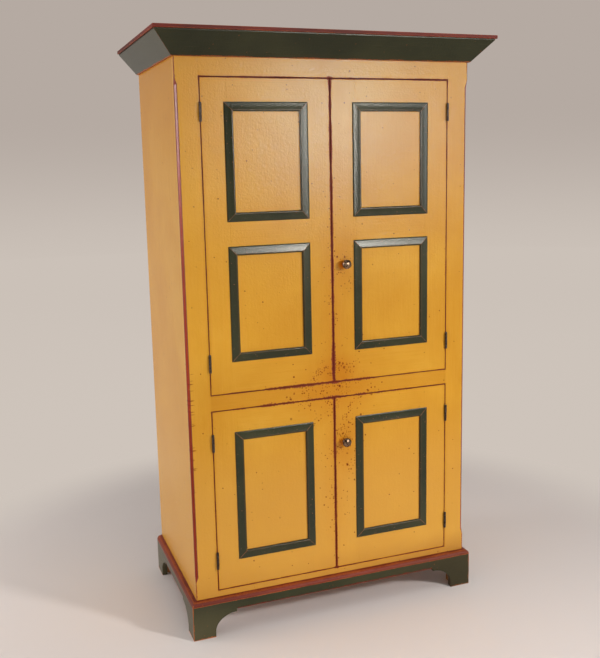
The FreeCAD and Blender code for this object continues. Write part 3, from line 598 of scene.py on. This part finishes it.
def yellow_paint(name, stretch, bare_from, gaps=True, front=True, chamfer=False, depth=0.0, seed=1.0):
    """Ochre paint over a red undercoat: brush marks, clouds, specks and rubbed edges.

    bare_from says where the paint ends and bare wood begins: the axis, 0 for |x| and 1 for y, and the span of the
    change; gaps adds the rubbed lines along the doors' outlines; front is for what faces forward, and else it is
    a case side; chamfer paints the corner's chamfer red; depth makes the colour deeper; seed is the wood's."""
    material, tree, shader, place = new_material(name)
    x, y, z = tree.split(place)
    dark, pale = (0.30, 0.22) if front else (0.55, 0.45)
    paint = tree.group("ochre", vector=place, stretch=stretch, depth=depth, dark=dark, pale=pale)
    colour, rough, height = paint["Colour"], paint["Rough"], paint["Height"]
    tint = GLARE_TINT if front else NO_TINT
    spotted = specks(tree, place, scale=48.0, share=0.05, size=0.12)
    if front:
        # Painted light: paler ochre high on the left, where the lamps' light falls off
        painted_light = tree.times(tree.smooth(x, 0.0, -0.45, high=0.32), tree.smooth(z, *LIT_LEVELS))
        colour = tree.mix(painted_light, colour, OCHRE_LIT)
        handled = tree.group("handled", vector=place)
        colour = tree.mix(tree.times(handled["Mask"], 0.75), colour, OCHRE_HANDLED)
        spotted = tree.most(spotted, handled["Specks"])
    else:
        # Painted shade: the sides darken upwards under the crown's overhang
        colour = tree.mix(tree.smooth(z, *SHADED_LEVELS, high=0.55), colour, OCHRE_DEEP)
        rough = tree.plus(rough, tree.smooth(x, -0.1, 0.1, high=0.3))     # the right side has gone dull
    colour = tree.mix(tree.times(spotted, 0.95), colour, SPECK)
    if front:
        # Each knob's thumbed red-orange wear, with a painted shadow of the knob to its left and below
        for row, amount in THUMB_SHADOW_SHARE.items():
            shadow_x, shadow_z = KNOB[row].x + THUMB_SHADOW_OFF_KNOB[0], KNOB[row].z + THUMB_SHADOW_OFF_KNOB[1]
            thumbed_and_shadow = bell(tree, place, shadow_x, shadow_z, *THUMB_SHADOW_REACH)
            colour = tree.mix(tree.times(thumbed_and_shadow, amount), colour, THUMBED_AND_SHADOW)

    if gaps:
        wear = tree.group("gap_wear", vector=place)
        worn = wear["Worn"]
        undercoat = tree.mix(wear["Middle"], UNDERCOAT, UNDERCOAT_RED)
        colour = tree.mix(wear["Beside"], colour, OCHRE_DEEP)
        colour = tree.mix(tree.times(worn, 0.92), colour, undercoat)
        shade = tree.noise(place, scale=35.0, detail=3.0, roughness=0.6)
        colour = tree.mix(tree.times(worn, shade, 0.25), colour, GRIME)
        height = tree.minus(height, tree.times(worn, 0.5))
        rough = tree.blend(worn, rough, UNDERCOAT_ROUGH)

    if chamfer:
        face, red, red_tone, rim, corner = red_chamfer(tree, place, paint)
        colour = tree.mix(red, colour, red_tone)
        rough = tree.blend(red, rough, tree.blend(rim, 0.25, 0.55))
        tint = tree.mix(face, GLARE_TINT, NO_TINT)
        colour = tree.mix(nicked(tree, place, corner), colour, UNDERCOAT)

    axis, start, end = bare_from
    bare = tree.smooth((tree.size(x), y)[axis], start, end)
    wood = pine(tree, place, stretch != ACROSS, seed)
    finish(tree, shader, tree.mix(bare, colour, wood["Colour"]), tree.blend(bare, rough, BARE_ROUGH),
           tree.blend(bare, height, wood["Height"]), YELLOW_BUMP, PAINT_SHINE if front else SIDE_SHINE)
    tree.put(shader.inputs["Specular Tint"], tint)
    return material


def finish_worn(tree, shader, colour, rough, height, worn, amount=0.9, shine=PAINT_SHINE):
    """Finish paint that is rubbed to an orange undercoat; amount is how much of the undercoat shows."""
    height = tree.minus(height, tree.times(worn, 0.5))
    finish(tree, shader, tree.mix(tree.times(worn, amount), colour, RUBBED_ORANGE),
           tree.blend(worn, rough, BARE_ROUGH), height, PAINT_BUMP, shine)


def green_moulding(name):
    """Panel moulding: olive paint, rubbed to orange at its crest, along its edges and at its mitres."""
    material, tree, shader, place = new_material(name)
    paint = tree.group("olive", vector=place, stretch=ROUND_THE_PANEL)
    x, y, z = tree.split(place)
    crest = rub(tree, place, tree.minus(y, MOULDING_CREST), reach=0.00035, scale=50.0)
    edge = rub(tree, place, tree.minus(FACE_Y, y), reach=0.0007, scale=45.0, ragged=0.9)
    to_mitre = tree.least(*(frame_of("mitre", tree, place, PANEL_SIDES, levels) for levels in PANEL_LEVELS))
    crack = rub(tree, place, to_mitre, reach=0.0006, scale=60.0, ragged=0.8)
    spotted = specks(tree, place, scale=150.0, share=0.05, size=0.16)
    worn = tree.most(tree.times(crest, 0.05), tree.times(edge, 0.75), tree.times(crack, 0.32),
                     tree.times(spotted, 0.7))
    rough = tree.times(paint["Rough"], 0.75)
    finish_worn(tree, shader, paint["Colour"], rough, paint["Height"], worn, shine=MOULDING_SHINE)
    return material


def green_crown(name, stretch):
    """Crown: olive paint, rubbed where its lower edge meets the case and at the mitres."""
    material, tree, shader, place = new_material(name)
    paint = tree.group("olive", vector=place, stretch=stretch)
    x, y, z = tree.split(place)
    low_edge = rub(tree, place, tree.apart(z, CROWN_LOW), reach=0.0022, scale=30.0)
    to_mitre = tree.apart(tree.minus(tree.size(x), CASE_HALF), tree.minus(FACE_Y, y))
    mitre = rub(tree, place, to_mitre, reach=0.0007, scale=40.0)
    spotted = specks(tree, place, scale=90.0, share=0.07, size=0.13)
    worn = tree.most(tree.times(low_edge, 0.75), tree.times(mitre, 0.6), tree.times(spotted, 0.6))
    finish_worn(tree, shader, paint["Colour"], paint["Rough"], paint["Height"], worn)
    return material


def green_base(name, stretch, along, apron, sawn_amount):
    """Base board: olive below, oxblood on the moulded top edge, a rubbed line between, orange on the feet's edges.

    along is the board's length, 0 for x and 1 for y; apron is where it runs between the feet on that axis;
    sawn_amount is how bare the sawn faces between the feet are."""
    material, tree, shader, place = new_material(name)
    paint = tree.group("olive", vector=place, stretch=stretch)
    x, y, z = tree.split(place)
    wobble = tree.times(tree.minus(tree.noise(place, scale=14.0, detail=3.0), 0.5), 0.0022)
    level = tree.plus(z, wobble)
    red = tree.smooth(level, BASE_EDGE - 0.0005, BASE_EDGE + 0.0005)
    colour = tree.mix(red, paint["Colour"], two_tones(tree, paint, OXBLOOD_DARK, OXBLOOD))
    dusty = tree.times(bell(tree, place, *DUSTY_SPOT), 0.75, tree.minus(1.0, red))
    colour = tree.mix(dusty, colour, OLIVE_DUSTY)
    colour = tree.mix(tree.smooth(x, 0.0, 0.5, high=0.3), colour, GRIME)
    low_edge = rub(tree, place, tree.apart(z, APRON_LOW), reach=0.0042, scale=16.0, ragged=0.7)
    run = (x, y)[along]
    between_feet = tree.times(tree.math("GREATER_THAN", run, apron[0]), tree.math("LESS_THAN", run, apron[1]))
    colour = tree.mix(tree.times(low_edge, between_feet, 0.75), colour, CHAMFER_DARK)

    seam = rub(tree, place, tree.apart(level, BASE_EDGE), reach=0.001, scale=40.0)
    crest = tree.times(red, rub(tree, place, tree.apart(level, BASE_CREST), reach=0.0016, scale=30.0))
    well_over = 0.6                    # a height that the base doesn't reach, for the top of the rubbed box
    to_corner = tree.group("arris", vector=place, low=(-CASE_HALF - BASE_OUT, FACE_Y - BASE_OUT, 0.0),
                           high=(CASE_HALF + BASE_OUT, BACK_Y, well_over))["Distance"]
    corner = rub(tree, place, to_corner, reach=0.0032, scale=35.0)
    facing = tree.split(tree.node("ShaderNodeNewGeometry").outputs["True Normal"])
    sawn = tree.times(tree.smooth(tree.size(facing[1 - along]), 0.6, 0.3),
                      tree.smooth(z, APRON_LOW + 0.006, APRON_LOW + 0.002))
    spotted = specks(tree, place, scale=75.0, share=0.05, size=0.12)
    worn = tree.most(tree.times(seam, 0.55), tree.times(corner, tree.smooth(x, -0.4, 0.4, low=0.8, high=0.35)),
                     tree.times(crest, 0.4), tree.times(sawn, sawn_amount), tree.times(spotted, 0.6))
    finish_worn(tree, shader, colour, tree.blend(red, paint["Rough"], 0.5), paint["Height"], worn)
    return material


def red_cap(name):
    """Cap board: oxblood paint, dull and dark in clouds, with rubbed edges."""
    material, tree, shader, place = new_material(name)
    brush = tree.group("brush_marks", vector=place, stretch=ACROSS)
    low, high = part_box("cap_board")
    edge = tree.group("arris", vector=place, low=tuple(low), high=tuple(high))["Distance"]
    worn = rub(tree, place, edge, reach=0.0016, scale=40.0)
    finish_worn(tree, shader, two_tones(tree, brush, CAP_DARK, CAP_RED),
                brushed_rough(tree, brush, base=0.46, streaks=0.3), brush["Height"], worn, amount=0.35)
    return material


def metal(name, colour, dark, roughness, metallic, pits):
    """Old dark metal: blotched, and duller in the pale blotches; pits is how strong its pits are."""
    material, tree, shader, place = new_material(name)
    old = tree.group("old_metal", vector=place)
    finish(tree, shader, tree.mix(tree.smooth(old["Blotch"], 0.35, 0.7), dark, colour),
           tree.smooth(old["Blotch"], 0.3, 0.8, low=roughness, high=roughness + 0.25),
           old["Height"], (METAL_BUMP_DEPTH, pits), METAL_SHINE)
    shader.inputs["Metallic"].default_value = metallic
    return material


LEAF_BARE = (1, LEAF_BACK - 0.0012, LEAF_BACK - 0.0004)
PANEL_BARE = (1, FACE_Y + 0.006, FACE_Y + 0.007)
SIDE_BARE = (0, SIDE_INSIDE + 0.003, SIDE_INSIDE + 0.001)
yellow_upright = yellow_paint("yellow_paint_upright", UPWARD, LEAF_BARE)
yellow_level = yellow_paint("yellow_paint_level", ACROSS, LEAF_BARE)
yellow_stile = yellow_paint("yellow_paint_stile", UPWARD, LEAF_BARE, chamfer=True)
yellow_rail = yellow_paint("yellow_paint_rail", ACROSS, LEAF_BARE, depth=0.45)
yellow_panel = yellow_paint("yellow_paint_panel", UPWARD, PANEL_BARE, gaps=False, seed=3.0)
# The sides' ochre is deeper all over (depth): a painted shade of the faces turned from the front
yellow_side = yellow_paint("yellow_paint_side", UPWARD, SIDE_BARE, gaps=False, front=False, depth=0.15)
moulding_green = green_moulding("green_paint_moulding")
crown_green = green_crown("green_paint_crown", ACROSS)
crown_side_green = green_crown("green_paint_crown_side", FRONT_TO_BACK)
base_green = green_base("green_paint_base", ACROSS, 0, FRONT_APRON, sawn_amount=0.06)
base_side_green = green_base("green_paint_base_side", FRONT_TO_BACK, 1, SIDE_APRON, sawn_amount=0.0)
cap_red = red_cap("red_paint_cap")
wood_level = bare_wood("bare_wood_level", upright=False, seed=5.0)
wood_upright = bare_wood("bare_wood_upright", seed=7.0)
BACK_LOW, BACK_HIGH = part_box("back_boards")
BACK_BOARDS = (BACK_LOW.x + BACK_HIGH.y, (BACK_HIGH.x - BACK_LOW.x) / 6)     # six boards, counted along x + y
wood_back = bare_wood("bare_wood_back", seed=2.0, boards=BACK_BOARDS)
iron = metal("dark_iron", IRON, IRON_DARK, roughness=0.36, metallic=0.85, pits=0.6)
pewter = metal("dark_pewter", PEWTER, PEWTER_DARK, roughness=0.2, metallic=1.0, pits=0.05)


# ---- Dress the pieces ----------------------------------------------------------------------------
FITTING_ROUND, DOOR_ROUND, BOARD_ROUND, BASE_ROUND, CAP_ROUND = 0.0003, 0.0004, 0.0008, 0.0012, 0.0015
BEVELLED_OVER = math.radians(14)       # an edge that turns more than this is rounded
SPLIT_OVER = math.radians(5.5)         # a moulding looks crisp where it turns more than this, and curved elsewhere


def dress(material, rounding, *nodes, segments=2):
    """Give pieces their finish and take the sharpness off their edges."""
    for node in nodes:
        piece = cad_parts[node]
        for slot in piece.material_slots:
            slot.material = material
        weld = piece.modifiers.new("join_corners", "WELD")
        weld.merge_threshold = 0.00001
        bevel = piece.modifiers.new("soft_edges", "BEVEL")
        bevel.width = rounding
        bevel.segments = segments
        bevel.limit_method = "ANGLE"
        bevel.angle_limit = BEVELLED_OVER
        bevel.harden_normals = True
        bevel.use_clamp_overlap = True
        if node.endswith("mouldings"):
            mitres = piece.modifiers.new("crisp_mitres", "EDGE_SPLIT")
            mitres.split_angle = SPLIT_OVER


for side in ("left", "right"):
    dress(yellow_side, BOARD_ROUND, "side_" + side)
    dress(yellow_stile, DOOR_ROUND, "frame_stile_" + side)
    dress(crown_side_green, BOARD_ROUND, "crown_" + side)
    dress(base_side_green, BASE_ROUND, "base_" + side)
    for row in ROWS:
        leaf = row + "_" + side + "_"
        dress(yellow_upright, DOOR_ROUND, leaf + "hinge_stile", leaf + "meeting_stile")
        dress(yellow_level, DOOR_ROUND, leaf + "rails")
        dress(yellow_panel, FITTING_ROUND, leaf + "panels")
        dress(moulding_green, DOOR_ROUND, leaf + "mouldings")
        dress(iron, FITTING_ROUND, leaf + "hinge_leaves")
dress(yellow_level, DOOR_ROUND, "frame_rail_top", "frame_rail_bottom")
dress(yellow_rail, DOOR_ROUND, "frame_rail_middle")
dress(crown_green, BOARD_ROUND, "crown_front")
dress(cap_red, CAP_ROUND, "cap_board", segments=3)
dress(base_green, BASE_ROUND, "base_front")
dress(wood_level, BOARD_ROUND, "case_bottom", "case_middle", "case_top", "lower_shelf", "upper_shelves",
      "door_stops")
dress(wood_upright, BOARD_ROUND, "crown_blocks", "foot_blocks", "rear_brackets")
dress(wood_back, BOARD_ROUND, "back_boards")
dress(iron, FITTING_ROUND, "hinge_frame_leaves", "hinge_frame_screws", "hinge_pins")
for row in ROWS:
    dress(iron, FITTING_ROUND, row + "_bolt_plate", row + "_bolt_rod")
    dress(pewter, DOOR_ROUND, row + "_knob")
    dress(iron, DOOR_ROUND, row + "_latch")


# ---- Room ----------------------------------------------------------------------------------------
def looked_at(tree):
    """1 for what the camera sees straight on, in a mirror or through glass; 0 for light cast on the cupboard."""
    path = tree.node("ShaderNodeLightPath").outputs
    return tree.most(path["Is Camera Ray"], path["Is Glossy Ray"], path["Is Transmission Ray"])


def lay_floor(corners=96, radius=14.0):
    """Flat disc about the cupboard: one face whose corners lie at equal angles on a circle. Further out its colour
    becomes the wall's."""
    turn = np.linspace(0, 2 * np.pi, corners, endpoint=False)
    rim = np.stack([radius * np.cos(turn), radius * np.sin(turn), np.zeros(corners)], 1)
    mesh = bpy.data.meshes.new("floor")
    mesh.from_pydata(rim.tolist(), [], [list(range(corners))])
    floor = bpy.data.objects.new("floor", mesh)
    bpy.context.scene.collection.objects.link(floor)

    material, tree, shader, place = new_material("studio_floor")
    away = tree.vector("LENGTH", place)
    is_wall = tree.smooth(away, 1.25, 1.85)
    shader.inputs["Base Color"].default_value = FLOOR
    shader.inputs["Roughness"].default_value = 0.75
    wall = tree.node("ShaderNodeEmission")
    tree.put(wall.inputs["Color"], tree.mix(tree.smooth(away, 1.5, 9.0), WALL_LOW, WALL))
    tree.put(wall.inputs["Strength"], tree.blend(looked_at(tree), 0.7, 1.0))
    either = tree.node("ShaderNodeMixShader")
    for socket, value in enumerate((is_wall, shader.outputs[0], wall.outputs[0])):
        tree.put(either.inputs[socket], value)
    tree.put(material.node_tree.nodes["Material Output"].inputs["Surface"], either.outputs[0])
    mesh.materials.append(material)


def light_world():
    """Even pale light all round; the camera sees the wall's colour, and gloss sees the dark room in front."""
    world = bpy.data.worlds.new("studio")
    bpy.context.scene.world = world
    world.use_nodes = True
    tree = Tree(world.node_tree)
    sideways, ahead, rise = tree.split(tree.node("ShaderNodeTexCoord").outputs["Generated"])
    # The wall darkens upwards: painted fall-off of the lamps' light
    seen = tree.mix(tree.smooth(rise, -0.12, 0.06), WALL, WALL_HIGH)
    in_gloss = tree.node("ShaderNodeLightPath").outputs["Is Glossy Ray"]
    seen = tree.mix(tree.times(tree.smooth(ahead, 0.0, -0.5), in_gloss), seen, ROOM)
    tree.put(world.node_tree.nodes["Background"].inputs["Color"], tree.mix(looked_at(tree), AMBIENT, seen))


SOFT_WHITE, PLAIN_WHITE, WARM_WHITE = (1.0, 0.99, 0.98), (1.0, 1.0, 1.0), (1.0, 0.96, 0.88)


def lamp(name, place, target, size, power, colour=SOFT_WHITE, glossy=True, diffuse=True, spread=180):
    """Oblong lamp at a place, turned to a target; glossy and diffuse are where its light shows."""
    data = bpy.data.lights.new(name, "AREA")
    data.shape = "RECTANGLE"
    data.size, data.size_y = size
    data.energy = power
    data.color = colour
    data.spread = math.radians(spread)
    light = bpy.data.objects.new(name, data)
    bpy.context.scene.collection.objects.link(light)
    light.location = place
    light.rotation_euler = (Vector(target) - Vector(place)).to_track_quat("-Z", "Y").to_euler()
    light.visible_glossy = glossy
    light.visible_diffuse = diffuse


lay_floor()
light_world()
lamp("key_softbox", place=(2.6, -3.45, 2.4), target=(0.0, -0.2, 0.1), size=(0.5, 0.5), power=27.0, glossy=False,
     spread=90)
lamp("low_fill", place=(-0.3, -4.4, 0.6), target=(0.0, 0.0, 0.5), size=(1.6, 0.8), power=10.0, glossy=False,
     spread=90)
lamp("ceiling_fill", place=(-0.4, -1.0, 4.6), target=(-0.2, -0.4, 0.0), size=(4.5, 4.0), power=30.0)
lamp("left_fill", place=(-4.0, 0.8, 1.2), target=(-0.4, 0.0, 0.9), size=(2.2, 2.0), power=81.0)
lamp("left_sheen", place=(-3.7, -1.0, 2.05), target=(-0.5, -0.26, 1.8), size=(0.7, 0.8), power=60.0,
     colour=PLAIN_WHITE, diffuse=False)
lamp("sheen_softbox", place=(1.50, -3.93, 2.02), target=(0.0, -0.2, 1.7), size=(0.55, 0.9), power=94.0,
     colour=WARM_WHITE, diffuse=False)
lamp("side_sheen", place=(2.7, -3.45, 2.0), target=(0.0, -0.2, 1.0), size=(0.9, 1.5), power=30.0,
     colour=PLAIN_WHITE, diffuse=False)


# ---- Camera --------------------------------------------------------------------------------------
CAMERA_PLACE = (-1.1607, -3.0545, 1.6496)
CAMERA_AZIMUTH, CAMERA_ELEVATION, CAMERA_ROLL = -20.364, 9.672, -1.221
CAMERA_FOCUS_PX, CAMERA_CENTRE_PX = 864.5, (300.0, 311.7)
IMAGE_PX = (600, 658)


def place_camera():
    """Camera given by azimuth, elevation and roll; its lens is worked out from a focal length in pixels."""
    azimuth, elevation, roll = (math.radians(v) for v in (CAMERA_AZIMUTH, CAMERA_ELEVATION, CAMERA_ROLL))
    back = Vector((math.sin(azimuth) * math.cos(elevation), -math.cos(azimuth) * math.cos(elevation),
                   math.sin(elevation)))
    right = Vector((0, 0, 1)).cross(back).normalized()
    up = back.cross(right)
    right, up = math.cos(roll) * right + math.sin(roll) * up, math.cos(roll) * up - math.sin(roll) * right
    data = bpy.data.cameras.new("camera")
    data.lens = CAMERA_FOCUS_PX / IMAGE_PX[1] * data.sensor_width
    data.shift_x = (IMAGE_PX[0] / 2 - CAMERA_CENTRE_PX[0]) / IMAGE_PX[1]
    data.shift_y = (CAMERA_CENTRE_PX[1] - IMAGE_PX[1] / 2) / IMAGE_PX[1]
    camera = bpy.data.objects.new("camera", data)
    bpy.context.scene.collection.objects.link(camera)
    turn = Matrix((right, up, back)).transposed().to_4x4()
    camera.matrix_world = Matrix.Translation(CAMERA_PLACE) @ turn
    bpy.context.scene.camera = camera


place_camera()
bpy.context.scene.view_settings.view_transform = "Standard"
